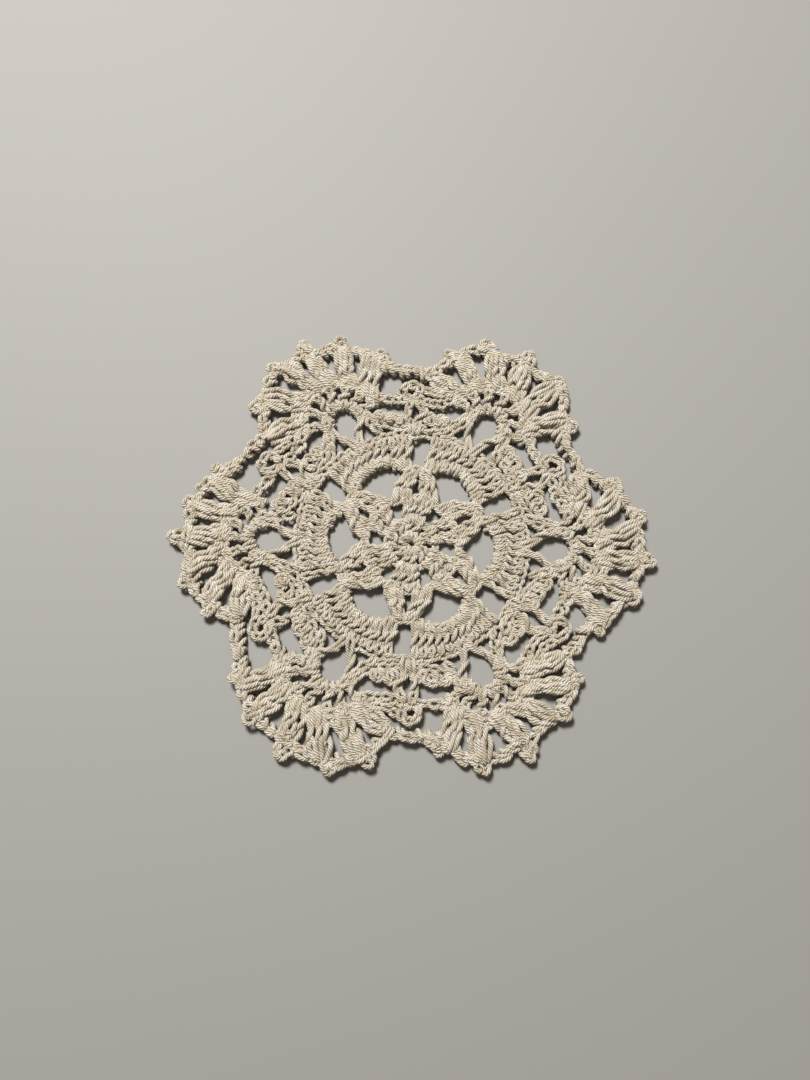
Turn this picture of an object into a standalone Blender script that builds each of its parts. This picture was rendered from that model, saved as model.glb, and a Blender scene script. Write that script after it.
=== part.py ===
"""Lace doily: a flat, six-fold cotton crochet mat with six fans, made as one fused piece."""
import math
from itertools import pairwise

import bmesh
import bpy
from mathutils import Vector

MM = 0.001
SECTORS = 6
SECTOR_DEG = 360.0 / SECTORS
TURN_DEG = -1.9  # direction of the first fan, counter-clockwise from +X

# heights, mm: a stitch is widest at CENTRE_Z and its table side is pressed flat at zero
CENTRE_Z = 0.75
POST_TOP = 2.1
CHAIN_TOP = 1.8
CLUSTER_TOP = 2.9
PICOT_TOP = 2.2

# widths, mm
CHAIN_W = 1.8
POST_W = 2.3
CLUSTER_FOOT_W = 4.2
CLUSTER_BELLY_W = 5.5
CLUSTER_TIP_W = 4.4
PICOT_NECK_W = 2.8
PICOT_HEAD_W = 3.8

# meshing: PATH_STEP is the spacing of a tube's rings in mm, TIP_ROUND the length of its end cap in widths
TUBE_SIDES = 10
PATH_STEP = 0.9
TIP_ROUND = 0.4
VOXEL_MM = 0.4
MESH_TRIANGLES = 11000
FLAT_SNAP_MM = 0.06

# rounds 1 and 2: a ring of posts, then pairs of posts with one open space to a sector
HUB_R = 2.0
HUB_POST_W = 1.2
ROUND1_TOP_R = 6.2
ROUND1_DEG = (9.5, 39.5)
ROUND2_TOP_R = 11.6
ROUND2_DEG = (3.0, 16.5, 31.5, 45.0)
ROUND2_FOOT_DEG = (7.5, 12.0, 36.5, 41.0)
ROUND2_FOOT_W = 2.0
ROUND2_SPACE_DEG = -6.0
ROUND2_RIM_R = 12.1
ROUND2_RIM_W = 2.0
RIM_STEP_DEG = 10.0
RING_STEP_DEG = 15.0
CENTRE_POST_W = 2.9

# star: posts lean in from both sides on one tip
STAR_DEG = 27.5
STAR_LEG_W = 2.3
# columns: radius, then the outer, middle and inner leg in degrees off the tip
STAR_LEGS = (
    (12.0, 24.5, 15.5, 7.5),
    (13.6, 22.5, 13.5, 7.2),
    (15.6, 18.0, 9.5, 5.0),
    (17.6, 11.0, 6.0, 3.0),
    (18.8, 4.0, 2.5, 1.0),
)

# block: posts standing on a chain loop slung between two star tips
# columns: radius, degrees
BLOCK_LOOP = (
    (18.8, 27.0),
    (20.2, 18.5),
    (21.6, 9.0),
    (22.5, 1.0),
    (22.7, -5.0),
    (22.2, -12.0),
    (20.9, -20.5),
    (18.8, -31.0),
)
BLOCK_POSTS = 11
BLOCK_MID_DEG = -3.2
BLOCK_STEP_DEG = 4.57
BLOCK_FOOT_R = 22.7
BLOCK_FOOT_DROP = 3.2
BLOCK_TOP_R = 28.1
BAND_R = 29.4
BAND_STEP_DEG = 6.0

# eye of the fan: a chain arch that carries the fan's posts
EYE_Y = 37.3
EYE_R = 4.2
EYE_SPAN_DEG = 100.0
EYE_STEP_DEG = 20.0
# columns: distance from the middle of the eye, width
FAN_POST = ((4.2, 2.2), (7.2, 3.4), (9.3, 2.8))
FAN_POST_DEG = (78.0, 52.0, 25.0, -1.5, -29.0, -57.0, -80.0)
FAN_RIM_R = 10.0
FAN_RIM_DEG = (85.0, 65.0, 40.0, 12.0, -15.0, -44.0, -70.0, -88.0)

# fan, in its own frame: x to the right, y outwards along the fan
# columns: name, width, top, path of (x, y)
FAN_STRANDS = (
    ("left stalk", 2.0, POST_TOP, (
        (-0.7, 29.0), (-1.0, 32.2), (-2.9, 34.4), (-4.3, 37.0), (-4.2, 39.0))),
    ("right stalk", 2.0, POST_TOP, (
        (1.0, 29.0), (1.3, 32.2), (3.0, 34.2), (4.4, 36.8), (4.2, 39.2))),
    ("left edge", 2.8, CHAIN_TOP, (
        (-20.2, 41.8), (-19.0, 46.1), (-17.0, 50.3), (-14.4, 53.4), (-10.7, 55.7), (-5.0, 56.9),
        (0.0, 57.3))),
    ("right edge", 2.8, CHAIN_TOP, (
        (0.0, 57.3), (5.0, 56.9), (9.9, 55.7), (14.1, 52.7), (17.6, 48.4), (20.0, 44.5))),
)

# columns: name, foot, belly, tip
CLUSTERS = (
    ("cluster 0", (-9.0, 41.0), (-14.2, 42.0), (-19.2, 41.4)),
    ("cluster 1", (-6.4, 44.9), (-12.2, 48.3), (-16.2, 50.8)),
    ("cluster 2", (-2.1, 47.0), (-5.6, 52.3), (-8.4, 56.3)),
    ("cluster 3", (2.6, 46.9), (1.1, 52.2), (0.5, 57.0)),
    ("cluster 4", (6.9, 44.4), (8.0, 50.8), (9.8, 55.8)),
    ("cluster 5", (9.3, 40.7), (13.1, 46.3), (16.6, 50.4)),
)

# picots stand on the edge; PICOT_HEAD_SHARE keeps the head of a short one off its own foot
PICOT_HEAD_SHARE = 0.7
# columns: name, foot, tip
PICOTS = (
    ("picot 1", (-17.3, 49.6), (-20.3, 50.9)),
    ("picot 2", (-10.6, 56.3), (-11.4, 58.5)),
    ("picot 3", (0.2, 58.6), (0.2, 61.9)),
    ("picot 4", (10.0, 56.4), (10.7, 58.6)),
    ("picot 5", (17.6, 48.6), (20.2, 49.8)),
)

# between two fans, in a frame turned half a sector on from the fan
# columns: name, width, top, path of (x, y)
GAP_STRANDS = (
    ("left leg", 2.6, POST_TOP, ((-0.6, 30.0), (-1.6, 33.5), (-2.2, 36.0), (-1.5, 39.0))),
    ("right leg", 2.6, POST_TOP, ((1.0, 30.0), (2.0, 33.5), (2.6, 36.0), (2.0, 39.0))),
    ("inner arch", 3.0, CHAIN_TOP, (
        (-11.9, 38.4), (-11.0, 40.6), (-8.0, 40.3), (-4.5, 40.0), (0.0, 39.4), (4.0, 38.9), (7.5, 38.8),
        (10.8, 39.8), (12.1, 38.4))),
    ("ring", 2.5, PICOT_TOP, (
        (-0.2, 39.2), (-2.6, 39.9), (-3.3, 41.4), (-2.3, 42.9), (-0.7, 43.3), (0.9, 42.6), (1.5, 41.0),
        (0.4, 39.3))),
    ("outer arch", 3.4, CHAIN_TOP, (
        (-12.0, 49.6), (-7.7, 48.6), (-4.0, 47.9), (-0.5, 47.7), (3.0, 46.6), (6.6, 45.4))),
    ("left garland", 4.4, POST_TOP, ((-0.8, 31.6), (-4.0, 32.0), (-7.6, 32.6))),
    ("right garland", 4.0, POST_TOP, ((1.2, 31.6), (4.0, 31.9), (6.6, 31.6))),
    ("left rise", 2.8, CHAIN_TOP, ((-5.9, 33.0), (-9.4, 33.4), (-12.6, 34.8), (-13.8, 36.6))),
    ("right rise", 2.6, CHAIN_TOP, ((4.8, 32.0), (8.6, 32.6), (12.2, 32.6), (14.4, 34.0), (14.8, 35.6))),
    ("right puff", 2.2, PICOT_TOP, ((3.4, 33.4), (5.4, 34.6), (7.2, 33.6))),
)

# unevenness of the hand work, mm: how far each picot of each fan lies from its even place
# columns: picot 1 x, y, picot 2 x, y, picot 3 x, y, picot 4 x, y, picot 5 x, y
PICOT_DRIFT = (
    (1.3, 1.7, 1.9, 1.4, 2.3, 0.8, 1.2, 0.0, 2.8, -3.2),
    (0.6, -1.9, -0.6, -0.9, -0.6, -0.9, 0.5, 0.6, 1.5, -0.8),
    (0.1, 1.3, 0.8, 2.1, -0.2, 0.3, -1.3, -0.7, -2.2, -0.1),
    (0.0, 0.0, -0.7, -0.5, -0.2, 0.0, -1.6, 0.4, -1.5, 2.4),
    (-0.8, 0.6, -1.5, 0.8, -0.4, 1.0, 0.9, 0.0, 0.5, 3.1),
    (-1.9, -1.3, -2.6, -2.0, -1.5, -0.7, 0.7, 0.0, -0.4, -2.2),
)
# outward drift of the outer arch after each fan, mm
# columns: left pin, right pin
ARCH_DRIFT = ((-0.9, 0.9), (-2.0, -0.9), (0.6, 0.3), (2.8, 0.4), (0.0, 0.2), (1.3, 1.0))
ARCH_PINS = ((-5.0, 48.2), (3.5, 46.5))
DRIFT_REACH = 5.0
DRIFT_HOLD = 0.06


def polar(radius, degrees):
    """Place in the fan frame from a radius and an angle left of the fan's axis."""
    t = math.radians(degrees)
    return (-radius * math.sin(t), radius * math.cos(t))


def about_eye(radius, degrees):
    """Place in the fan frame measured from the middle of the eye."""
    x, y = polar(radius, degrees)
    return (x, y + EYE_Y)


def sweep(start, end, step):
    """Even angles from the start to the end, both counted."""
    count = int(round((end - start) / step))
    return [start + step * i for i in range(count + 1)]


def to_mat(point, sector, half=False):
    """Turn a place in a fan frame, or in the frame half a sector on, to the mat's own frame."""
    t = math.radians(TURN_DEG + SECTOR_DEG * (sector + (0.5 if half else 0.0)) - 90.0)
    x, y = point
    return (x * math.cos(t) - y * math.sin(t), x * math.sin(t) + y * math.cos(t))


def drift_pins():
    """Pinned places of the mat with the shift of each."""
    pins = []
    for sector in range(SECTORS):
        for i, (_, _, tip) in enumerate(PICOTS):
            shift = PICOT_DRIFT[sector][2 * i:2 * i + 2]
            home = to_mat(tip, sector)
            away = to_mat((tip[0] + shift[0], tip[1] + shift[1]), sector)
            pins.append((home, (away[0] - home[0], away[1] - home[1])))
        for pin, rise in zip(ARCH_PINS, ARCH_DRIFT[sector]):
            home = to_mat(pin, sector, half=True)
            away = to_mat((pin[0], pin[1] + rise), sector, half=True)
            pins.append((home, (away[0] - home[0], away[1] - home[1])))
    return pins


def drifted(point, pins):
    """Shift a place of the mat with the pins near it."""
    total = DRIFT_HOLD
    dx = 0.0
    dy = 0.0
    for home, shift in pins:
        far = (point[0] - home[0]) ** 2 + (point[1] - home[1]) ** 2
        weight = math.exp(-far / (2.0 * DRIFT_REACH ** 2))
        total += weight
        dx += weight * shift[0]
        dy += weight * shift[1]
    return (point[0] + dx / total, point[1] + dy / total)


def smooth_path(points, widths):
    """Walk a rounded curve through the points, carrying the widths along."""
    out = []
    last = len(points) - 1
    for i in range(last):
        p0 = Vector(points[max(i - 1, 0)])
        p1 = Vector(points[i])
        p2 = Vector(points[i + 1])
        p3 = Vector(points[min(i + 2, last)])
        count = max(2, int(round((p2 - p1).length / PATH_STEP)))
        for j in range(count):
            t = j / count
            place = 0.5 * (
                2.0 * p1 + (p2 - p0) * t + (2.0 * p0 - 5.0 * p1 + 4.0 * p2 - p3) * t ** 2
                + (3.0 * p1 - p0 - 3.0 * p2 + p3) * t ** 3)
            out.append((place, widths[i] + (widths[i + 1] - widths[i]) * t))
    out.append((Vector(points[last]), widths[last]))
    return out


def add_tube(mesh, path, top):
    """One rounded strand: an elliptic tube with tapered ends, closed."""
    half_high = top - CENTRE_Z
    rings = []
    last = len(path) - 1
    for i, (place, width) in enumerate(path):
        along = path[min(i + 1, last)][0] - path[max(i - 1, 0)][0]
        along.normalize()
        side = Vector((-along.y, along.x))
        ring = []
        for s in range(TUBE_SIDES):
            t = 2.0 * math.pi * s / TUBE_SIDES
            flat = place + side * (math.cos(t) * width / 2.0)
            ring.append(mesh.verts.new((flat.x * MM, flat.y * MM, (CENTRE_Z + math.sin(t) * half_high) * MM)))
        rings.append(ring)
    for a, b in zip(rings, rings[1:]):
        for s in range(TUBE_SIDES):
            n = (s + 1) % TUBE_SIDES
            mesh.faces.new((a[s], a[n], b[n], b[s]))
    for ring, neighbour, sign in ((rings[0], path[1][0], 1), (rings[-1], path[-2][0], -1)):
        end = path[0][0] if sign == 1 else path[-1][0]
        out = (end - neighbour).normalized() * (path[0][1] if sign == 1 else path[-1][1]) * TIP_ROUND
        tip = mesh.verts.new(((end.x + out.x) * MM, (end.y + out.y) * MM, CENTRE_Z * MM))
        for s in range(TUBE_SIDES):
            n = (s + 1) % TUBE_SIDES
            mesh.faces.new((ring[n], ring[s], tip) if sign == 1 else (ring[s], ring[n], tip))


def sector_strands(sector):
    """Every strand of one sector: width list, top and path in the mat's frame."""
    out = []

    def add(points, widths, top, half=False):
        if not isinstance(widths, tuple):
            widths = (widths,) * len(points)
        out.append(([to_mat(p, sector, half) for p in points], widths, top))

    for degrees in ROUND1_DEG:
        add([polar(HUB_R, degrees), polar(ROUND1_TOP_R, degrees)], (HUB_POST_W, CENTRE_POST_W), POST_TOP)
    for radius, top in ((HUB_R, CHAIN_TOP), (ROUND1_TOP_R, POST_TOP)):
        for start, end in pairwise(sweep(0.0, SECTOR_DEG, RING_STEP_DEG)):
            add([polar(radius, start), polar(radius, end)], CHAIN_W, top)
    for foot, degrees in zip(ROUND2_FOOT_DEG, ROUND2_DEG):
        add([polar(ROUND1_TOP_R, foot), polar(ROUND2_TOP_R, degrees)], (ROUND2_FOOT_W, CENTRE_POST_W),
            POST_TOP)
    rim = sweep(ROUND2_SPACE_DEG, ROUND2_SPACE_DEG + SECTOR_DEG, RIM_STEP_DEG)
    add([polar(ROUND2_RIM_R, d) for d in rim], ROUND2_RIM_W, POST_TOP)
    for side in (1.0, -1.0):
        for leg in range(3):
            path = [polar(row[0], STAR_DEG + side * row[1 + leg]) for row in STAR_LEGS]
            add(path, STAR_LEG_W, POST_TOP)
    add([polar(r, d) for r, d in BLOCK_LOOP], CHAIN_W, CHAIN_TOP)
    middle = (BLOCK_POSTS - 1) / 2.0
    for i in range(BLOCK_POSTS):
        off = i - middle
        foot_r = BLOCK_FOOT_R - BLOCK_FOOT_DROP * (off / middle) ** 2
        degrees = BLOCK_MID_DEG - off * BLOCK_STEP_DEG
        add([polar(foot_r, degrees), polar(BLOCK_TOP_R, degrees)], POST_W, POST_TOP)
    half = SECTOR_DEG / 2.0
    add([polar(BAND_R, d) for d in sweep(-half, half, BAND_STEP_DEG)], CHAIN_W, CHAIN_TOP)
    eye = sweep(-EYE_SPAN_DEG, EYE_SPAN_DEG, EYE_STEP_DEG)
    add([about_eye(EYE_R, d) for d in eye], CHAIN_W, POST_TOP)
    for degrees in FAN_POST_DEG:
        add([about_eye(r, degrees) for r, _ in FAN_POST], tuple(w for _, w in FAN_POST), POST_TOP)
    add([about_eye(FAN_RIM_R, d) for d in FAN_RIM_DEG], CHAIN_W, CHAIN_TOP)
    for _, width, top, path in FAN_STRANDS:
        add(path, width, top)
    for _, foot, belly, tip in CLUSTERS:
        add([foot, belly, tip], (CLUSTER_FOOT_W, CLUSTER_BELLY_W, CLUSTER_TIP_W), CLUSTER_TOP)
    for _, foot, tip in PICOTS:
        back = PICOT_HEAD_W / 2.0
        reach = math.dist(foot, tip)
        head = [tip[i] + (foot[i] - tip[i]) * min(PICOT_HEAD_SHARE, back / reach) for i in (0, 1)]
        add([foot, tuple(head)], (PICOT_NECK_W, PICOT_HEAD_W), PICOT_TOP)
    for _, width, top, path in GAP_STRANDS:
        add(path, width, top, half=True)
    return out


def select_only(obj):
    bpy.ops.object.select_all(action="DESELECT")
    obj.select_set(True)
    bpy.context.view_layer.objects.active = obj


def apply_modifier(obj, kind, **settings):
    mod = obj.modifiers.new(kind.lower(), kind)
    for key, value in settings.items():
        setattr(mod, key, value)
    select_only(obj)
    bpy.ops.object.modifier_apply(modifier=mod.name)


def keep_largest(mesh):
    """Drop any crumb that the remeshing left beside the mat."""
    seen = set()
    best = []
    for start in mesh.verts:
        if start in seen:
            continue
        seen.add(start)
        group = [start]
        for vert in group:
            for edge in vert.link_edges:
                other = edge.other_vert(vert)
                if other not in seen:
                    seen.add(other)
                    group.append(other)
        if len(group) > len(best):
            best = group
    keep = set(best)
    bmesh.ops.delete(mesh, geom=[v for v in mesh.verts if v not in keep], context="VERTS")


def press_flat(obj, snap):
    """Bring everything under the table plane, or within the snap of it, on to the plane."""
    for vert in obj.data.vertices:
        if vert.co.z < snap:
            vert.co.z = 0.0


def cotton():
    """Unbleached mercerised cotton."""
    mat = bpy.data.materials.new("ecru cotton")
    mat.use_nodes = True
    shader = mat.node_tree.nodes["Principled BSDF"]
    shader.inputs["Base Color"].default_value = (0.62, 0.53, 0.37, 1.0)
    shader.inputs["Roughness"].default_value = 0.85
    return mat


def build():
    for obj in list(bpy.data.objects):
        bpy.data.objects.remove(obj, do_unlink=True)
    pins = drift_pins()
    mesh = bmesh.new()
    for sector in range(SECTORS):
        for points, widths, top in sector_strands(sector):
            moved = [drifted(p, pins) for p in points]
            add_tube(mesh, smooth_path(moved, widths), top)
    data = bpy.data.meshes.new("doily")
    mesh.to_mesh(data)
    mesh.free()
    doily = bpy.data.objects.new("doily", data)
    bpy.context.collection.objects.link(doily)
    apply_modifier(doily, "REMESH", mode="VOXEL", voxel_size=VOXEL_MM * MM)
    press_flat(doily, 0.0)
    now = sum(len(p.vertices) - 2 for p in doily.data.polygons)
    apply_modifier(doily, "DECIMATE", decimate_type="COLLAPSE", ratio=MESH_TRIANGLES / now,
                   use_collapse_triangulate=True)
    press_flat(doily, FLAT_SNAP_MM * MM)
    mesh = bmesh.new()
    mesh.from_mesh(doily.data)
    keep_largest(mesh)
    bmesh.ops.triangulate(mesh, faces=mesh.faces)
    bmesh.ops.recalc_face_normals(mesh, faces=mesh.faces)
    low = [min(v.co[i] for v in mesh.verts) for i in range(3)]
    high = [max(v.co[i] for v in mesh.verts) for i in range(3)]
    shift = Vector((-(low[0] + high[0]) / 2.0, -(low[1] + high[1]) / 2.0, 0.0))
    bmesh.ops.translate(mesh, verts=mesh.verts, vec=shift)
    mesh.to_mesh(doily.data)
    mesh.free()
    doily.data.materials.append(cotton())


build()
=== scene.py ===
"""Lace doily: ecru cotton thread, crocheted stitch by stitch in rounds and laid flat on a table."""
import math

import bpy
import numpy as np
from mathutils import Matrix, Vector


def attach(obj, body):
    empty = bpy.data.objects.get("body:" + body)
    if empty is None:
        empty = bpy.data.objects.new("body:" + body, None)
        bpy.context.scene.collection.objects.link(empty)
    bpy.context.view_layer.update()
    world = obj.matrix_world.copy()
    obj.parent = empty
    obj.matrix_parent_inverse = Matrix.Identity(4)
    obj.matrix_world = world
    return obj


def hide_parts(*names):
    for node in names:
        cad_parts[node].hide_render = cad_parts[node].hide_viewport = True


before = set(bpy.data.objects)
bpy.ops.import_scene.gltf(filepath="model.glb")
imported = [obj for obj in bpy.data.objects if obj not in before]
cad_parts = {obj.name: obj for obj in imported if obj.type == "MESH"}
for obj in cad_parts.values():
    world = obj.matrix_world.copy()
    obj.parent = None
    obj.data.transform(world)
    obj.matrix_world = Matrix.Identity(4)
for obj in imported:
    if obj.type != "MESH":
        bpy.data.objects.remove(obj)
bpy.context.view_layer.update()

# ---------------------------------------------------------------------------------------------
# Hub and first two rounds
# The middle of the lace: twelve double crochets worked into a ring of thread, then four to a sector
# with a chain space between the sectors. Each round closes in a ring of chain loops on its posts.
# It is one cotton thread worked with a hook, as all of the doily is.
# ---------------------------------------------------------------------------------------------


def linear(hex_code):
    """An sRGB hex colour as linear RGBA."""
    shades = [int(hex_code[i:i + 2], 16) / 255.0 for i in (1, 3, 5)]
    return (*[s / 12.92 if s <= 0.04045 else ((s + 0.055) / 1.055) ** 2.4 for s in shades], 1.0)


def add_node(tree, kind, values=(), links=(), **settings):
    """Add a node with its settings, the values of its sockets and what is linked to them."""
    node = tree.nodes.new(kind)
    for key, value in settings.items():
        setattr(node, key, value)
    for key, value in dict(values).items():
        node.inputs[key].default_value = value
    for key, source in dict(links).items():
        tree.links.new(source, node.inputs[key])
    return node


# The thread is a cabled crochet cotton, unbleached: plies laid round each other, soft and a little
# hairy. Sizes are in mm, and MM turns them to metres.
MM = 0.001
THREAD_R = 0.56
PLIES = 4  # the real plies would be too fine to show, so these are fewer and coarser
PLY_TURN = 3.1  # length of thread for one turn of a ply
PLY_RELIEF = 0.26  # depth of the grooves between plies
PLY_WANDER = 0.10  # how far the plies stray, in turns
WANDER_SCALE = 0.9  # so a ply strays afresh about every 1.1 mm of thread
FIBRE_SCALE = 2.4  # about seven fibres across a ply; the real ones are far too fine to show
FIBRE_RELIEF = 0.35  # height of the fibres, as a share of the plies' own
TONE_PATCH = 2.5  # length over which the undyed cotton changes tone


def cabled_cotton():
    """Matte unbleached cotton. The plies give fine slanting ridges, with shade painted darker into
    the grooves between them; fibres break the shine, with shade painted where they lie low; the
    undyed thread wanders between cream, straw and sand."""
    mat = bpy.data.materials.new("cabled ecru cotton")
    mat.use_nodes = True
    tree = mat.node_tree
    shader = tree.nodes["Principled BSDF"]
    shader.inputs["Roughness"].default_value = 0.82
    shader.inputs["Specular IOR Level"].default_value = 0.3
    shader.inputs["Sheen Weight"].default_value = 0.25
    shader.inputs["Sheen Roughness"].default_value = 0.5
    thread = add_node(tree, "ShaderNodeUVMap", uv_map="thread")
    parts = add_node(tree, "ShaderNodeSeparateXYZ", links={0: thread.outputs["UV"]})
    along = add_node(tree, "ShaderNodeMath", {1: 1.0 / PLY_TURN}, {0: parts.outputs["X"]},
                     operation="MULTIPLY")
    turned = add_node(tree, "ShaderNodeMath", links={0: along.outputs[0], 1: parts.outputs["Y"]},
                      operation="ADD")
    wander = add_node(tree, "ShaderNodeTexNoise", {"Scale": WANDER_SCALE, "Detail": 1.0},
                      {"Vector": thread.outputs["UV"]})
    strayed_turn = add_node(tree, "ShaderNodeMath", {1: PLY_WANDER},
                            {0: wander.outputs["Fac"], 2: turned.outputs[0]},
                            operation="MULTIPLY_ADD")
    phase = add_node(tree, "ShaderNodeMath", {1: PLIES * math.pi}, {0: strayed_turn.outputs[0]},
                     operation="MULTIPLY")
    wave = add_node(tree, "ShaderNodeMath", links={0: phase.outputs[0]}, operation="SINE")
    ridge = add_node(tree, "ShaderNodeMath", links={0: wave.outputs[0]}, operation="ABSOLUTE")
    strand = add_node(tree, "ShaderNodeCombineXYZ",
                      links={"X": phase.outputs[0], "Y": along.outputs[0]})
    fibre = add_node(tree, "ShaderNodeTexNoise",
                     {"Scale": FIBRE_SCALE, "Detail": 3.0, "Roughness": 0.6},
                     {"Vector": strand.outputs[0]})
    place = add_node(tree, "ShaderNodeTexCoord")
    cloud = add_node(tree, "ShaderNodeTexNoise", {"Scale": 1.0 / (TONE_PATCH * MM), "Detail": 2.0},
                     {"Vector": place.outputs["Object"]})
    tone = add_node(tree, "ShaderNodeValToRGB", links={"Fac": cloud.outputs["Fac"]})
    tone.color_ramp.elements[0].position = 0.28
    tone.color_ramp.elements[0].color = linear("#b2a792")
    tone.color_ramp.elements[1].position = 0.72
    tone.color_ramp.elements[1].color = linear("#e1dcd3")
    middle = tone.color_ramp.elements.new(0.5)
    middle.color = linear("#d0c7b7")
    # painted shade: the colour is darkened towards #75674f in the grooves between the plies, where
    # the relief is low
    shade = add_node(tree, "ShaderNodeMapRange",
                     {"From Min": 0.05, "From Max": 0.92, "To Min": 0.5, "To Max": 0.0},
                     {"Value": ridge.outputs[0]})
    groove_shaded = add_node(tree, "ShaderNodeMix", {"B": linear("#75674f")},
                       {"Factor": shade.outputs[0], "A": tone.outputs["Color"]}, data_type="RGBA")
    # painted shade: the colour is darkened towards #8a7c66 where the fibre noise, and with it the
    # fibre relief, lies low
    fibre_shade = add_node(tree, "ShaderNodeMapRange",
                     {"From Min": 0.35, "From Max": 0.65, "To Min": 0.42, "To Max": 0.0},
                     {"Value": fibre.outputs["Fac"]})
    fibre_shaded = add_node(tree, "ShaderNodeMix", {"B": linear("#8a7c66")},
                       {"Factor": fibre_shade.outputs[0], "A": groove_shaded.outputs["Result"]},
                       data_type="RGBA")
    tree.links.new(fibre_shaded.outputs["Result"], shader.inputs["Base Color"])
    rough = add_node(tree, "ShaderNodeMath", {1: FIBRE_RELIEF}, {0: fibre.outputs["Fac"]},
                     operation="MULTIPLY")
    relief = add_node(tree, "ShaderNodeMath", links={0: ridge.outputs[0], 1: rough.outputs[0]},
                      operation="ADD")
    bump = add_node(tree, "ShaderNodeBump", {"Strength": 1.0, "Distance": PLY_RELIEF * MM},
                    {"Height": relief.outputs[0]})
    tree.links.new(bump.outputs["Normal"], shader.inputs["Normal"])
    return mat


cotton = cabled_cotton()


def rounded(points, step):
    """A smooth curve through the points, as places at most about a step apart."""
    p = np.asarray(points, float)
    longer = np.vstack([2 * p[0] - p[1], p, 2 * p[-1] - p[-2]])
    out = []
    for i in range(len(p) - 1):
        p0, p1, p2, p3 = longer[i:i + 4]
        count = max(1, int(math.ceil(np.linalg.norm(p2 - p1) / step)))
        t = (np.arange(count) / count)[:, None]
        out.append(0.5 * (2 * p1 + (p2 - p0) * t + (2 * p0 - 5 * p1 + 4 * p2 - p3) * t ** 2
                          + (3 * p1 - p0 - 3 * p2 + p3) * t ** 3))
    out.append(p[-1:])
    return np.vstack(out)


def unit(v):
    """The same direction, one long."""
    return v / max(float(np.linalg.norm(v)), 1e-9)


THREAD_SIDES = 8
THREAD_STEP = 0.62  # between rings of a thread
PRESSED = 0.55  # how low a thread's middle lies on the table, in thread radii
ANY_WAY = (0.31, 0.42, 0.85)  # a direction that no thread sets out in


def spin(points, radius):
    """The middle line of one round thread through the points, and the rings round it."""
    line = rounded(points, THREAD_STEP)
    line[:, 2] = np.maximum(line[:, 2], PRESSED * radius)
    ahead = np.gradient(line, axis=0)
    turn = np.arange(THREAD_SIDES) * 2.0 * math.pi / THREAD_SIDES
    side = unit(np.cross(ahead[0], ANY_WAY))
    rings = np.empty((len(line), THREAD_SIDES, 3))
    for i, (place, forward) in enumerate(zip(line, ahead)):
        forward = unit(forward)
        side = unit(side - forward * side.dot(forward))
        up = np.cross(forward, side)
        rings[i] = place + radius * (np.outer(np.cos(turn), side) + np.outer(np.sin(turn), up))
    rings[:, :, 2] = np.maximum(rings[:, :, 2], 0.0)
    return line, rings


END_ROUND = 0.5  # how far a cut end bulges, in thread radii
STRIP_GAP = 2.0  # of thread length, between two strips of the baking map


def work_piece(name, threads, radius=THREAD_R):
    """Make one piece of the doily from its threads, and hand it to the frame."""
    verts, faces, along, around, strips = [], [], [], [], []
    total = 0
    run = 0.0
    sides = np.arange(THREAD_SIDES)
    for points in threads:
        line, rings = spin(settle(np.asarray(points, float)), radius)
        count = len(line)
        far = np.concatenate([[0.0], np.cumsum(np.linalg.norm(np.diff(line, axis=0), axis=1))])
        ends = (line[0] + unit(line[0] - line[1]) * END_ROUND * radius,
                line[-1] + unit(line[-1] - line[-2]) * END_ROUND * radius)
        verts.append(rings.reshape(-1, 3))
        verts.append(np.maximum(np.array(ends), (-np.inf, -np.inf, 0.0)))
        # the wall of the thread, in faces of four corners
        i, s = np.meshgrid(np.arange(count - 1), sides, indexing="ij")
        i, s = i.ravel(), s.ravel()
        n = (s + 1) % THREAD_SIDES
        a, b = total + i * THREAD_SIDES, total + (i + 1) * THREAD_SIDES
        faces.append(np.stack([a + s, a + n, b + n, b + s], 1))
        along.append(np.stack([far[i], far[i], far[i + 1], far[i + 1]], 1))
        around.append(np.stack([s, s + 1, s + 1, s], 1) / THREAD_SIDES)
        strips.append(run + far[i])
        # its two ends, each closed to a point by triangles that name their last corner twice
        for ring, tip, order in ((0, 0, -1), (count - 1, 1, 1)):
            edge = total + ring * THREAD_SIDES + sides
            point = total + count * THREAD_SIDES + tip
            pair = np.stack([edge, np.roll(edge, -1)], 1)[:, ::order]
            faces.append(np.column_stack([pair, np.full((THREAD_SIDES, 2), point)]))
            along.append(np.full((THREAD_SIDES, 4), far[ring]))
            along[-1][:, 2:] += order * END_ROUND * radius
            ring_turn = np.stack([sides, sides + 1], 1)[:, ::order]
            around.append(np.column_stack([ring_turn, ring_turn[:, ::-1]]) / THREAD_SIDES)
            strips.append(np.full(THREAD_SIDES, run + far[ring]))
        total += count * THREAD_SIDES + 2
        run += far[-1] + STRIP_GAP
    piece = mesh_threads(name, np.vstack(verts), np.vstack(faces), np.vstack(along),
                         np.vstack(around), np.concatenate(strips), run, radius)
    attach(piece, "root")
    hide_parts("doily")
    return piece


BAKE_GUTTER = 0.8  # bare map beside a strip
CARD_EDGE = 1.0  # bare map round all the strips
ROW_OVERRUN = 3.0  # how far a row of strips may run past its end, in thread steps


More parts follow.
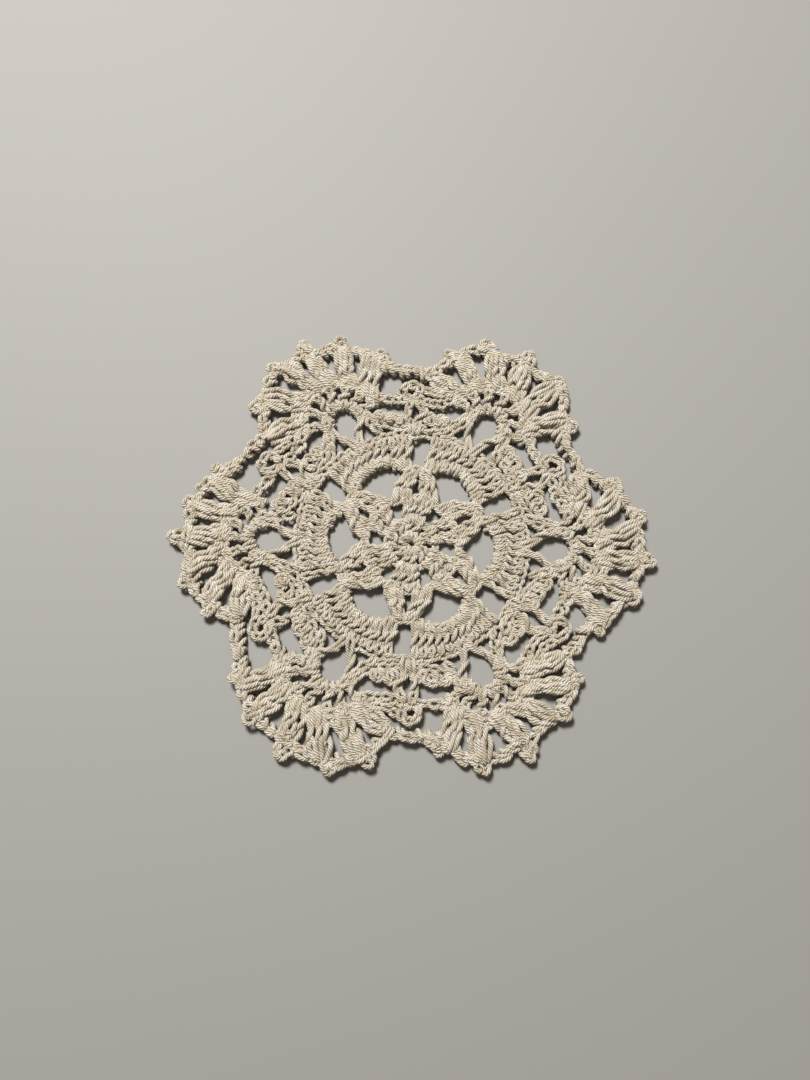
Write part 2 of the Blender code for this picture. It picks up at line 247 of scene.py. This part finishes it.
def mesh_threads(name, verts, faces, along, around, strips, run, radius):
    """Build the mesh. Map "thread" holds mm along and turns round; map "OFBake" lays the thread
    out in rows, like thread wound on a card, so that its pattern has room on an image."""
    mesh = bpy.data.meshes.new(name)
    triangle = faces[:, 2] == faces[:, 3]
    rows = [tuple(f[:3]) if t else tuple(f) for f, t in zip(faces.tolist(), triangle)]
    mesh.from_pydata((verts * MM).tolist(), [], rows)
    girth = 2.0 * math.pi * radius
    strip_h = girth + BAKE_GUTTER
    row_len = math.sqrt(run * strip_h)
    card = row_len + ROW_OVERRUN * THREAD_STEP + 2.0 * CARD_EDGE
    row = np.floor(strips / row_len)
    start = strips - row * row_len
    card_x = (start[:, None] + along - along.min(1)[:, None] + CARD_EDGE) / card
    card_y = (row[:, None] * strip_h + around * girth + CARD_EDGE) / card
    keep = np.ones(faces.shape, bool)
    keep[triangle, 3] = False
    for label, x, y in (("thread", along, around), ("OFBake", card_x, card_y)):
        layer = mesh.uv_layers.new(name=label)
        layer.data.foreach_set("uv", np.stack([x[keep], y[keep]], 1).ravel())
    mesh.materials.append(cotton)
    mesh.shade_smooth()
    mesh.validate()
    piece = bpy.data.objects.new(name, mesh)
    bpy.context.collection.objects.link(piece)
    return piece


# The plan it is worked to: six like sectors round the hub, each with a fan. A fan's frame has x to
# its right and y outward, and the frame between two fans is turned half a sector on.
SECTORS = 6
SECTOR_DEG = 360.0 / SECTORS
TURN_DEG = -1.9  # direction of the first fan, counter-clockwise from +X
MIDDLE = (-0.3128, 0.6811)  # the hub in the part's frame

# The hand is a little uneven, so each fan's picots and each outer arch are pinned off their even
# places, and the lace round them drifts along.
# Picots of an even fan, left to right; columns: foot x, foot y, tip x, tip y
PICOTS = (
    (-17.3, 49.6, -20.3, 50.9),
    (-10.6, 56.3, -11.4, 58.5),
    (0.2, 58.6, 0.2, 61.9),
    (10.0, 56.4, 10.7, 58.6),
    (17.6, 48.6, 20.2, 49.8),
)
# How far the picots of each fan lie off their even places, a row to a fan
# columns: picot 1 x, y, picot 2 x, y, picot 3 x, y, picot 4 x, y, picot 5 x, y
PICOT_DRIFT = (
    (1.3, 1.7, 1.9, 1.4, 2.3, 0.8, 1.2, 0.0, 2.8, -3.2),
    (0.6, -1.9, -0.6, -0.9, -0.6, -0.9, 0.5, 0.6, 1.5, -0.8),
    (0.1, 1.3, 0.8, 2.1, -0.2, 0.3, -1.3, -0.7, -2.2, -0.1),
    (0.0, 0.0, -0.7, -0.5, -0.2, 0.0, -1.6, 0.4, -1.5, 2.4),
    (-0.8, 0.6, -1.5, 0.8, -0.4, 1.0, 0.9, 0.0, 0.5, 3.1),
    (-1.9, -1.3, -2.6, -2.0, -1.5, -0.7, 0.7, 0.0, -0.4, -2.2),
)
# How far out of its even place the outer arch after each fan lies; columns: left pin, right pin
ARCH_DRIFT = ((-0.9, 0.9), (-2.0, -0.9), (0.6, 0.3), (2.8, 0.4), (0.0, 0.2), (1.3, 1.0))
# Where the two pins are; columns: x, y
ARCH_PINS = ((-5.0, 48.2), (3.5, 46.5))
DRIFT_REACH = 5.0  # how far a pin pulls the lace
DRIFT_HOLD = 0.06  # how well the lace holds its place between the pins


def polar(radius, degrees):
    """Place in the fan frame from a radius and an angle left of the fan's axis."""
    t = math.radians(degrees)
    return (-radius * math.sin(t), radius * math.cos(t))


def turned(points, sector, half=False):
    """Places of a fan frame, or of the frame half a sector on, in the mat's own frame."""
    t = math.radians(TURN_DEG + SECTOR_DEG * (sector + (0.5 if half else 0.0)) - 90.0)
    p = np.asarray(points, float)
    return p @ np.array([[math.cos(t), math.sin(t)], [-math.sin(t), math.cos(t)]])


def pinned():
    """Pinned places of the mat and the shift of each, as two arrays."""
    homes, shifts = [], []
    for sector in range(SECTORS):
        for i, (_, _, x, y) in enumerate(PICOTS):
            dx, dy = PICOT_DRIFT[sector][2 * i:2 * i + 2]
            home, away = turned([(x, y), (x + dx, y + dy)], sector)
            homes.append(home)
            shifts.append(away - home)
        for (x, y), rise in zip(ARCH_PINS, ARCH_DRIFT[sector]):
            home, away = turned([(x, y), (x, y + rise)], sector, half=True)
            homes.append(home)
            shifts.append(away - home)
    return np.array(homes), np.array(shifts)


PIN_HOMES, PIN_SHIFTS = pinned()


def settle(points):
    """Move a thread's points from the even plan to where the hand left them on the table."""
    gap = points[:, None, :2] - PIN_HOMES[None]
    weight = np.exp(-(gap ** 2).sum(2) / (2.0 * DRIFT_REACH ** 2))
    moved = points.copy()
    moved[:, :2] += weight @ PIN_SHIFTS / (DRIFT_HOLD + weight.sum(1))[:, None]
    moved[:, :2] += MIDDLE
    return moved


COURSE_STEP = 0.4  # between the places a course is measured at


class Course:
    """A rounded line in the mat that stitches are worked along."""

    def __init__(self, points):
        self.line = rounded(points, COURSE_STEP)
        legs = np.linalg.norm(np.diff(self.line, axis=0), axis=1)
        self.far = np.concatenate([[0.0], np.cumsum(legs)])
        self.length = float(self.far[-1])
        ahead = np.gradient(self.line, axis=0)
        self.ahead = ahead / np.linalg.norm(ahead, axis=1)[:, None]

    def place(self, along, across):
        """The point at a distance along the line and off to its right."""
        inside = min(max(along, 0.0), self.length)
        spot = np.array([np.interp(inside, self.far, self.line[:, k]) for k in (0, 1)])
        way = unit(np.array([np.interp(inside, self.far, self.ahead[:, k]) for k in (0, 1)]))
        return spot + way * (along - inside) + np.array([way[1], -way[0]]) * across


MID_Z = 1.32  # height of the middle of the fabric
END_SHARE = 0.3  # how much of its last loop a run of chain still makes

# One chain stitch: out through the last loop, round the head, back and along the back to the next.
# columns: along in stitches, across, height
CHAIN_TURNS = (
    (0.00, 0.14, -0.50),
    (0.20, 0.40, 0.04),
    (0.62, 0.72, 0.52),
    (1.02, 0.60, 0.50),
    (1.30, 0.16, 0.20),
    (1.34, -0.18, 0.16),
    (1.04, -0.62, 0.48),
    (0.62, -0.72, 0.54),
    (0.20, -0.40, 0.04),
    (0.00, -0.14, -0.50),
    (0.50, 0.00, -0.80),
)
# One double crochet: the thread laid over the hook, the loop drawn up from behind and under what
# it is worked on, then the upper loop drawn through both.
# columns: across, share of the way up, mm added to that, height
POST_TURNS = (
    (0.45, 0.95, 0.0, -0.35),
    (0.80, 0.74, 0.0, 0.00),
    (0.70, 0.62, 0.0, 0.74),
    (0.00, 0.50, 0.0, 1.16),
    (-0.70, 0.38, 0.0, 0.70),
    (-0.80, 0.29, 0.0, -0.05),
    (-0.25, 0.30, 0.0, -0.72),
    (0.35, 0.12, 0.0, -0.75),
    (0.48, 0.00, -0.6, -0.62),
    (0.52, 0.00, -1.15, 0.05),
    (0.54, 0.02, 0.0, 0.82),
    (0.42, 0.20, 0.0, 0.46),
    (0.22, 0.36, 0.0, 0.12),
    (0.00, 0.50, 0.0, -0.10),
    (-0.22, 0.36, 0.0, 0.12),
    (-0.42, 0.20, 0.0, 0.46),
    (-0.54, 0.02, 0.0, 0.82),
    (-0.52, 0.00, -1.15, 0.05),
    (-0.46, 0.00, -0.6, -0.60),
    (-0.20, 0.25, 0.0, -0.75),
    (0.12, 0.45, 0.0, -0.50),
    (0.38, 0.60, 0.0, 0.06),
    (0.24, 0.74, 0.0, 0.30),
    (0.74, 0.88, 0.0, 0.86),
    (0.20, 1.06, 0.0, 0.55),
    (-0.62, 0.97, 0.0, 0.82),
    (-0.34, 0.77, 0.0, 0.26),
    (-0.34, 0.62, 0.0, 0.02),
    (-0.10, 0.50, 0.0, -0.60),
)

hand = np.random.default_rng(11)  # the maker's hand, uneven in the same way each time
LOOSE = 0.12  # how far one bend of a hand-made loop strays
LEAN = 0.16  # how far a whole stitch strays


def strayed(points, loose=LOOSE):
    """The points with the small unevenness of a loop drawn by hand."""
    return points + hand.normal(0.0, loose, points.shape)


def chain(points, pitch=2.3, wide=1.0, lift=0.0, thick=1.0, lean=LEAN):
    """A run of chain stitches along a line, as one thread."""
    course = Course(points)
    count = max(1, int(round(course.length / pitch)))
    step = course.length / count
    out = []
    for k in range(count):
        lean_x, lean_y, lean_z = hand.normal(0.0, lean, 3)
        slack = wide * math.exp(hand.normal(0.0, lean))
        for along, across, height in CHAIN_TURNS:
            if k == count - 1 and along > 1.0:
                along = 1.0 + (along - 1.0) * END_SHARE
            x, y = course.place((k + along) * step, across * slack)
            out.append((x + lean_x, y + lean_y, MID_Z + lift + height * thick + lean_z))
    return strayed(np.array(out))


def double_crochet(points, wide=1.0, lift=0.0, belly=0.0, turns=POST_TURNS, loose=LOOSE):
    """One double crochet that stands along a line, as one thread; a belly lifts its middle."""
    course = Course(points)
    lean_x, lean_y, lean_z = hand.normal(0.0, LEAN, 3)
    out = []
    for across, share, extra, height in turns:
        x, y = course.place(share * course.length + extra, across * wide)
        swell = belly * math.sin(math.pi * min(max(share, 0.0), 1.0))
        out.append((x + lean_x, y + lean_y, MID_Z + lift + height + swell + lean_z))
    return strayed(np.array(out), loose)


def ring(radius, count, start=0.0):
    """A closed ring of places on the mat, counter-clockwise."""
    return [polar(radius, start + 360.0 * i / count) for i in range(count + 1)]


# Radii are from the middle of the hub, and degrees are to the left of the fan's axis.
HUB_R = 2.2
HUB_THREAD_R = 0.57  # the first rounds are worked close and the thread fills them
ROUND1_TOP_R = 6.2
ROUND1_DEG = (9.5, 39.5)
ROUND2_TOP_R = 11.6
# columns: foot, top of each post in degrees
ROUND2_POSTS = ((9.5, 8.0), (15.5, 18.5), (32.5, 29.5), (38.5, 40.0))
ROUND2_RIM_R = 12.0

threads = []
for sector in range(SECTORS):
    for degrees in ROUND1_DEG:
        threads.append(double_crochet(
            turned([polar(HUB_R, degrees), polar(ROUND1_TOP_R, degrees)], sector), wide=0.9))
    for foot, top in ROUND2_POSTS:
        threads.append(double_crochet(
            turned([polar(ROUND1_TOP_R, foot), polar(ROUND2_TOP_R, top)], sector), wide=0.95))
threads.append(chain(turned(ring(ROUND1_TOP_R, count=24), 0), pitch=3.2, wide=0.6, lift=-0.3))
threads.append(chain(turned(ring(ROUND2_RIM_R, count=36, start=-6.0), 0), pitch=2.5))
hub_rounds = work_piece("hub_rounds", threads, HUB_THREAD_R)

# ---------------------------------------------------------------------------------------------
# Star round
# A six-pointed star of the same cotton thread. Each point is six double crochets worked into the
# round before; they lean in from both sides and are closed together at the tip by a bit of chain.
# The middle one of each side is worked fat.
# ---------------------------------------------------------------------------------------------

# One fat stitch, as in a puff cluster: long, with its upper loop left slack and closed at the tip.
# columns: across, share of the way up, mm added to that, height
PUFF_TURNS = (
    (0.30, 0.96, 0.0, -0.30),
    (0.70, 0.62, 0.0, 0.10),
    (0.50, 0.50, 0.0, 0.78),
    (-0.05, 0.40, 0.0, 0.95),
    (-0.60, 0.30, 0.0, 0.55),
    (-0.55, 0.20, 0.0, -0.30),
    (0.10, 0.18, 0.0, -0.75),
    (0.40, 0.00, -0.4, -0.60),
    (0.45, 0.00, -0.9, 0.00),
    (0.50, 0.06, 0.0, 0.55),
    (0.46, 0.22, 0.0, 0.42),
    (0.05, 0.36, 0.0, 0.05),
    (-0.40, 0.24, 0.0, 0.35),
    (-0.50, 0.06, 0.0, 0.55),
    (-0.48, 0.00, -0.9, 0.00),
    (-0.40, 0.00, -0.4, -0.60),
    (-0.10, 0.30, 0.0, -0.75),
    (0.25, 0.42, 0.0, -0.30),
    (0.56, 0.54, 0.0, 0.45),
    (0.74, 0.68, 0.0, 0.74),
    (0.58, 0.86, 0.0, 0.78),
    (0.00, 1.00, 0.0, 0.50),
    (-0.58, 0.85, 0.0, 0.78),
    (-0.74, 0.67, 0.0, 0.76),
    (-0.56, 0.53, 0.0, 0.46),
    (-0.15, 0.42, 0.0, -0.45),
)
STAR_THREAD_R = 0.6
STAR_DEG = 27.5
STAR_TIP_R = 18.9
STAR_TIP_OUT_R = 19.4
STAR_TIP_HALF_DEG = 7.0
# columns: radius, then the outer, middle and inner stitch of a side, in degrees off the tip
STAR_LEGS = (
    (12.6, 24.4, 16.4, 7.8),
    (13.9, 22.2, 14.8, 7.2),
    (15.8, 16.8, 10.8, 4.8),
    (17.6, 10.8, 7.0, 3.2),
    (18.9, 5.6, 3.8, 1.8),
)

threads = []
for sector in range(SECTORS):
    for side in (1.0, -1.0):
        for k in (1, 2, 3):
            leg = [polar(row[0], STAR_DEG + side * row[k]) for row in STAR_LEGS]
            threads.append(double_crochet(turned(leg, sector), wide=0.8, belly=0.15,
                                          turns=PUFF_TURNS if k == 2 else POST_TURNS))
    tip = [polar(STAR_TIP_R, STAR_DEG + STAR_TIP_HALF_DEG), polar(STAR_TIP_OUT_R, STAR_DEG),
           polar(STAR_TIP_R, STAR_DEG - STAR_TIP_HALF_DEG)]
    threads.append(chain(turned(tip, sector), lift=0.1))
star_round = work_piece("star_round", threads, STAR_THREAD_R)

# ---------------------------------------------------------------------------------------------
# Block round
# Six close blocks of the same cotton thread round the star. A chain loop is slung from tip to tip,
# eleven double crochets wrap round it, and a ring of chain runs on over their tops.
# ---------------------------------------------------------------------------------------------

# columns: radius, degrees
BLOCK_LOOP = (
    (18.8, 27.0),
    (20.2, 18.5),
    (21.6, 9.0),
    (22.5, 1.0),
    (22.7, -5.0),
    (22.2, -12.0),
    (20.9, -20.5),
    (18.8, -31.0),
)
BLOCK_POSTS = 11
BLOCK_MID_DEG = -3.2
BLOCK_STEP_DEG = 4.57
BLOCK_FOOT_R = 22.7
BLOCK_FOOT_DROP = 3.2  # the outermost posts of a block reach this much further in
BLOCK_TOP_R = 28.1
BAND_R = 29.1

threads = []
half_block = (BLOCK_POSTS - 1) / 2.0
for sector in range(SECTORS):
    threads.append(chain(turned([polar(r, d) for r, d in BLOCK_LOOP], sector), thick=0.8))
    for i in range(BLOCK_POSTS):
        off = i - half_block
        foot_r = BLOCK_FOOT_R - BLOCK_FOOT_DROP * (off / half_block) ** 2
        degrees = BLOCK_MID_DEG - off * BLOCK_STEP_DEG
        path = [polar(foot_r, degrees), polar(BLOCK_TOP_R, degrees)]
        threads.append(double_crochet(turned(path, sector)))
threads.append(chain(turned(ring(BAND_R, count=60), 0), pitch=2.0, wide=1.05, lift=-0.2))
block_round = work_piece("block_round", threads)

# ---------------------------------------------------------------------------------------------
# Fans
# Six fans of the same cotton thread. Two stalks on the block round open into an eye, and seven
# double crochets on its chain arch carry two rims of chain. Six puff clusters of three stitches
# hook over the rims, and an edge of single crochets with five picots joins their tips.
# ---------------------------------------------------------------------------------------------

EYE_Y = 37.3
EYE_R = 4.2
EYE_SPAN_DEG = 100.0  # the chain arch reaches this far down both sides of the eye
EYE_STEP_DEG = 20.0
FAN_POST_TOP_R = 9.3
FAN_POST_DEG = (78.0, 52.0, 25.0, -1.5, -29.0, -57.0, -80.0)
FAN_RIM_R = 10.2
FAN_OUTER_RIM_R = 12.3
FAN_RIM_DEG = (85.0, 65.0, 40.0, 12.0, -15.0, -44.0, -70.0, -88.0)
# Lines of an even fan; columns: x, y of each of their places
LEFT_STALK = ((-0.4, 28.8), (-1.7, 31.4), (-3.5, 33.9), (-4.7, 36.4), (-4.3, 39.0))
RIGHT_STALK = ((1.0, 28.8), (1.9, 31.4), (3.4, 33.9), (4.6, 36.4), (4.3, 39.2))
EDGE = (
    (19.6, 44.3), (17.2, 48.0), (13.8, 52.2), (9.7, 55.2), (4.9, 56.4), (0.0, 56.8),
    (-4.9, 56.4), (-10.5, 55.2), (-14.1, 52.9), (-16.6, 49.9), (-18.6, 45.9), (-19.8, 41.8),
)
# The line of each puff cluster; columns: foot, belly, tip
CLUSTERS = (
    ((-9.0, 41.0), (-14.2, 42.0), (-19.2, 41.4)),
    ((-6.4, 44.9), (-12.2, 48.3), (-16.2, 50.8)),
    ((-2.1, 47.0), (-5.6, 52.3), (-8.4, 56.3)),
    ((2.6, 46.9), (1.1, 52.2), (0.5, 57.0)),
    ((6.9, 44.4), (8.0, 50.8), (9.8, 55.8)),
    ((9.3, 40.7), (13.1, 46.3), (16.6, 50.4)),
)
CLUSTER_THREAD_R = 0.67  # the thread lies slack in a cluster and swells
CLUSTER_LOOSE = 0.19  # so its bends stray further
# columns: side of the cluster's line the stitch stands on, lift, belly
CLUSTER_STITCHES = ((-1.0, 0.0, 0.2), (1.0, 0.0, 0.2), (0.0, 0.3, 0.4))
CLUSTER_FOOT_GAP = 1.2
CLUSTER_BELLY_GAP = 1.6
CLUSTER_TIP_GAP = 0.85
CLUSTER_FOOT_IN = 0.7  # from the plan's foot to where a cluster comes up through the rim
KNOT_BACK = 1.3  # how far short of the tip a cluster's knot lies
KNOT_REACH = 1.3  # how far it reaches to either side
KNOT_BOW = 0.5
EDGE_THREAD_R = 0.62  # the edge is worked loosely too
EDGE_LEAN = 0.28  # so its stitches stray further
EDGE_WRAP_IN = 0.45  # how far the single crochets lie inside the line of the edge
EDGE_HEAD_OUT = 0.5  # how far their heads lie outside it
WRAP_PITCH = 2.1
PICOT_LEAN = 0.22
PICOT_HALF_W = 1.15
PICOT_NARROWS = 0.75  # width half way up, as a share of the width at the foot
PICOT_FOOT_BACK = 1.2  # how far under the edge a picot starts
PICOT_TIP_BACK = 1.15  # its middle line stops this far short, since the thread is thick
# One single crochet worked over a chain: the thread goes once round it, on a slant.
# columns: along in stitches, across, height
WRAP_TURNS = (
    (0.00, -1.00, -0.25),
    (0.12, -0.72, 0.55),
    (0.38, 0.00, 0.92),
    (0.62, 0.72, 0.60),
    (0.74, 1.00, -0.15),
    (0.84, 0.40, -0.68),
    (0.94, -0.45, -0.68),
)


def sweep(start, end, step):
    """Even angles from the start to the end, both counted."""
    count = int(round((end - start) / step))
    return [start + step * i for i in range(count + 1)]


def beside(path, gaps):
    """A line that runs beside a path, at one distance or at its own from each point."""
    p = np.asarray(path, float)
    way = np.gradient(p, axis=0)
    way /= np.linalg.norm(way, axis=1)[:, None]
    return p + np.stack([way[:, 1], -way[:, 0]], 1) * np.broadcast_to(gaps, len(p))[:, None]


def wraps(points, wide):
    """A run of single crochets worked over a line, as one thread."""
    course = Course(points)
    count = max(1, int(round(course.length / WRAP_PITCH)))
    step = course.length / count
    out = []
    for k in range(count):
        lean_x, lean_y, lean_z = hand.normal(0.0, EDGE_LEAN, 3)
        slack = wide * math.exp(hand.normal(0.0, EDGE_LEAN))
        for along, across, height in WRAP_TURNS:
            x, y = course.place((k + along) * step, across * slack)
            out.append((x + lean_x, y + lean_y, MID_Z + height + lean_z))
    return strayed(np.array(out))


def crocheted_edge(line, wide, lift):
    """The single crochets along a line of the edge, and the chain that their heads make."""
    return [wraps(beside(line, -EDGE_WRAP_IN), wide),
            chain(beside(line, EDGE_HEAD_OUT), wide=0.8, lift=lift, lean=EDGE_LEAN)]


def about_eye(radius, degrees):
    """Place in the fan frame measured from the middle of the eye."""
    x, y = polar(radius, degrees)
    return (x, y + EYE_Y)


def picot(foot, tip):
    """A tight pointed loop of chain that stands out from the edge, from its foot to its tip."""
    foot = np.asarray(foot, float)
    out = np.asarray(tip, float) - foot
    far = float(np.linalg.norm(out))
    way = out / far
    side = np.array([way[1], -way[0]])
    top = foot + way * (far - PICOT_TIP_BACK)
    half = (foot + top) / 2.0
    foot = foot - way * PICOT_FOOT_BACK
    wide = side * PICOT_HALF_W
    return [foot + wide, half + wide * PICOT_NARROWS, top, half - wide * PICOT_NARROWS, foot - wide]


def knot(path):
    """The chain that draws a puff cluster shut, laid across just short of its tip."""
    way = unit(path[-1] - path[-2])
    side = np.array([way[1], -way[0]])
    spot = path[-1] - way * KNOT_BACK
    bow = way * KNOT_BOW
    points = [spot - side * KNOT_REACH - bow, spot, spot + side * KNOT_REACH - bow]
    return chain(points, pitch=1.9, wide=0.9, lift=0.45)


eyes = []
puffs = []
edging = []
for sector in range(SECTORS):
    for stalk in (LEFT_STALK, RIGHT_STALK):
        eyes.append(double_crochet(turned(stalk, sector), wide=1.15, lift=0.1))
    eye = [about_eye(EYE_R, d) for d in sweep(-EYE_SPAN_DEG, EYE_SPAN_DEG, EYE_STEP_DEG)]
    eyes.append(chain(turned(eye, sector), thick=0.8, wide=0.9))
    for degrees in FAN_POST_DEG:
        path = [about_eye(EYE_R, degrees), about_eye(FAN_POST_TOP_R, degrees)]
        eyes.append(double_crochet(turned(path, sector), wide=1.25))
    rim = [about_eye(FAN_RIM_R, d) for d in reversed(FAN_RIM_DEG)]
    puffs.append(chain(turned(rim, sector), pitch=2.2, wide=0.9))
    rim = [about_eye(FAN_OUTER_RIM_R, d) for d in reversed(FAN_RIM_DEG)]
    eyes.append(chain(turned(rim, sector), pitch=2.4, wide=0.9, lift=-0.2, thick=0.8))
    for foot, belly, tip in CLUSTERS:
        rise = unit(np.subtract(belly, foot)) * CLUSTER_FOOT_IN
        path = turned([np.add(foot, rise), belly, tip], sector)
        for k, lift, belly_rise in CLUSTER_STITCHES:
            gaps = (k * CLUSTER_FOOT_GAP, k * CLUSTER_BELLY_GAP, k * CLUSTER_TIP_GAP)
            puffs.append(double_crochet(beside(path, gaps), wide=0.9, lift=lift, belly=belly_rise,
                                        turns=PUFF_TURNS, loose=CLUSTER_LOOSE))
        puffs.append(knot(path))
    edging += crocheted_edge(turned(EDGE, sector), wide=0.7, lift=0.3)
    for foot_x, foot_y, tip_x, tip_y in PICOTS:
        loop = picot((foot_x, foot_y), (tip_x, tip_y))
        edging.append(chain(turned(loop, sector), pitch=2.1, lift=0.35, lean=PICOT_LEAN))
fan_eyes = work_piece("fan_eyes", eyes)
fan_puffs = work_piece("fan_puffs", puffs, CLUSTER_THREAD_R)

# ---------------------------------------------------------------------------------------------
# Bridges between the fans
# The open work of the same cotton thread that joins neighbouring fans. Two legs are worked into the
# block round, with a garland of small chain loops at their feet, and carry an inner arch, a picot
# ring and an outer arch.
# ---------------------------------------------------------------------------------------------

# Lines of an even bridge, in the frame between two fans; columns: x, y of each of their places
BRIDGE_LEGS = (
    ((-1.0, 30.0), (-1.4, 33.5), (-2.3, 36.0), (-1.2, 38.8)),
    ((0.6, 30.0), (1.2, 33.5), (2.1, 36.0), (0.9, 38.8)),
)
INNER_ARCH = (
    (12.1, 38.0), (10.4, 38.9), (7.5, 38.2), (4.6, 38.3), (1.5, 39.2), (-1.5, 39.6), (-4.5, 39.6),
    (-8.0, 40.0), (-11.0, 40.6), (-11.9, 38.4))
ARCH_RETURN = ((1.8, 42.6), (3.6, 41.4), (6.0, 40.4), (8.6, 40.7), (11.4, 41.2))
PICOT_RING = (
    (-0.4, 39.6), (-2.4, 40.1), (-3.4, 41.7), (-2.7, 43.2), (-1.1, 43.9), (0.6, 43.3), (1.2, 41.7),
    (0.4, 40.1))
OUTER_ARCH = (
    (6.6, 45.4), (3.0, 46.6), (-0.5, 47.7), (-4.0, 47.9), (-7.7, 48.6), (-12.0, 49.6))
GARLAND = (
    (-13.4, 35.4), (-10.6, 32.8), (-7.4, 31.4), (-3.8, 30.8), (0.0, 30.6), (3.8, 30.8), (7.4, 31.2),
    (10.6, 32.4), (13.8, 34.6))
LEFT_RISE = ((-8.8, 29.6), (-10.8, 31.2), (-12.6, 33.8), (-13.6, 36.6))
RIGHT_RISE = ((7.5, 28.8), (10.3, 30.6), (12.5, 32.4), (14.3, 34.6))
# Small loops that stand on the garland; columns: x, y, radius
GARLAND_LOOPS = (
    (-9.2, 33.6, 1.25),
    (-6.0, 33.4, 1.35),
    (-2.9, 33.0, 1.20),
    (4.2, 33.4, 1.35),
    (7.2, 33.0, 1.15),
)
LOOP_GAP_DEG = 30.0  # a loop stays open at its foot by this much to either side
LOOP_STEP_DEG = 60.0

bridges = []
for sector in range(SECTORS):
    for leg in BRIDGE_LEGS:
        bridges.append(double_crochet(turned(leg, sector, half=True), wide=1.2, lift=0.15))
    bridges.append(chain(turned(INNER_ARCH, sector, half=True), pitch=2.0, wide=1.3, lift=0.1))
    bridges.append(chain(turned(ARCH_RETURN, sector, half=True), pitch=2.0, wide=0.9, lift=0.2))
    bridges.append(chain(turned(PICOT_RING, sector, half=True), pitch=2.0, lift=0.3))
    edging += crocheted_edge(turned(OUTER_ARCH, sector, half=True), wide=0.75, lift=0.25)
    bridges.append(chain(turned(GARLAND, sector, half=True), pitch=2.1, wide=0.95))
    for x, y, radius in GARLAND_LOOPS:
        loop = [(x + radius * math.sin(math.radians(d)), y - radius * math.cos(math.radians(d)))
                for d in sweep(LOOP_GAP_DEG, 360.0 - LOOP_GAP_DEG, LOOP_STEP_DEG)]
        bridges.append(chain(turned(loop, sector, half=True), pitch=2.1, wide=0.7, lift=0.3))
    for rise in (LEFT_RISE, RIGHT_RISE):
        bridges.append(chain(turned(rise, sector, half=True), pitch=2.1, wide=1.15, lift=0.1))
fan_bridges = work_piece("fan_bridges", bridges)
# The edge runs on from the fans over the outer arches, so all of it is worked together here.
outer_edging = work_piece("outer_edging", edging, EDGE_THREAD_R)

# ---------------------------------------------------------------------------------------------
# The whole lace
# All the rounds are one limp sheet of crocheted cotton, worked without a seam and laid flat on the
# table.
# ---------------------------------------------------------------------------------------------

# ---------------------------------------------------------------------------------------------
# Table, light and camera
# A plain pale table top of matte laminate, under soft studio light that comes over its far edge, a
# little from the left. The camera looks down from near overhead, close in.
# ---------------------------------------------------------------------------------------------


def matte_table():
    """Smooth matte laminate: pale warm grey, no grain, so only the lace's shadow shows on it."""
    mat = bpy.data.materials.new("matte laminate")
    mat.use_nodes = True
    shader = mat.node_tree.nodes["Principled BSDF"]
    shader.inputs["Base Color"].default_value = linear("#8c8b89")
    shader.inputs["Roughness"].default_value = 0.7
    return mat


TABLE_SIZE = 6.0  # metres
TABLE_DROP = 0.00005  # metres, so that the lace's underside stays clear of it

bpy.ops.mesh.primitive_plane_add(size=TABLE_SIZE, location=(0.0, 0.0, -TABLE_DROP))
table_top = bpy.context.object
table_top.name = "table_top"
table_top.data.materials.append(matte_table())


def softbox(name, towards, distance, size, watts, colour):
    """A square studio light that faces the doily from a direction."""
    lamp = bpy.data.lights.new(name, "AREA")
    lamp.size = size
    lamp.energy = watts
    lamp.color = linear(colour)[:3]
    softbox_head = bpy.data.objects.new(name, lamp)
    way = unit(np.array(towards, float))
    softbox_head.location = way * distance
    softbox_head.rotation_mode = "QUATERNION"
    softbox_head.rotation_quaternion = Vector(way).to_track_quat("Z", "Y")
    bpy.context.collection.objects.link(softbox_head)


softbox("window_light", towards=(-0.34, 0.76, 1.22), distance=1.0, size=0.24, watts=17.6,
        colour="#fffdf8")
softbox("fill_light", towards=(0.5, -0.6, 1.2), distance=1.2, size=1.2, watts=0.7,
        colour="#f6f2ec")

world = bpy.data.worlds.new("studio")
world.use_nodes = True
world.node_tree.nodes["Background"].inputs["Color"].default_value = linear("#f3e6d2")
world.node_tree.nodes["Background"].inputs["Strength"].default_value = 0.17
bpy.context.scene.world = world
bpy.context.scene.view_settings.view_transform = "Standard"

AIM_OFF_HUB = (-1.60, 1.40)  # from the hub to where the middle of the view falls
CAMERA_AIM = (AIM_OFF_HUB[0] + MIDDLE[0], AIM_OFF_HUB[1] + MIDDLE[1])
CAMERA_FAR = 208.0
CAMERA_RISE = math.radians(79.7)
SENSOR = 36.0  # its long side
FOCAL_SHARE = 811.0 / 1080.0  # focal length over the view's long side
CAMERA_NEAR = 0.01  # metres

camera_data = bpy.data.cameras.new("camera")
camera_data.sensor_width = SENSOR
camera_data.lens = SENSOR * FOCAL_SHARE
camera_data.clip_start = CAMERA_NEAR
camera = bpy.data.objects.new("camera", camera_data)
camera.location = (
    CAMERA_AIM[0] * MM,
    (CAMERA_AIM[1] - CAMERA_FAR * math.cos(CAMERA_RISE)) * MM,
    CAMERA_FAR * math.sin(CAMERA_RISE) * MM,
)
camera.rotation_euler = (math.pi / 2.0 - CAMERA_RISE, 0.0, 0.0)
bpy.context.collection.objects.link(camera)
bpy.context.scene.camera = camera
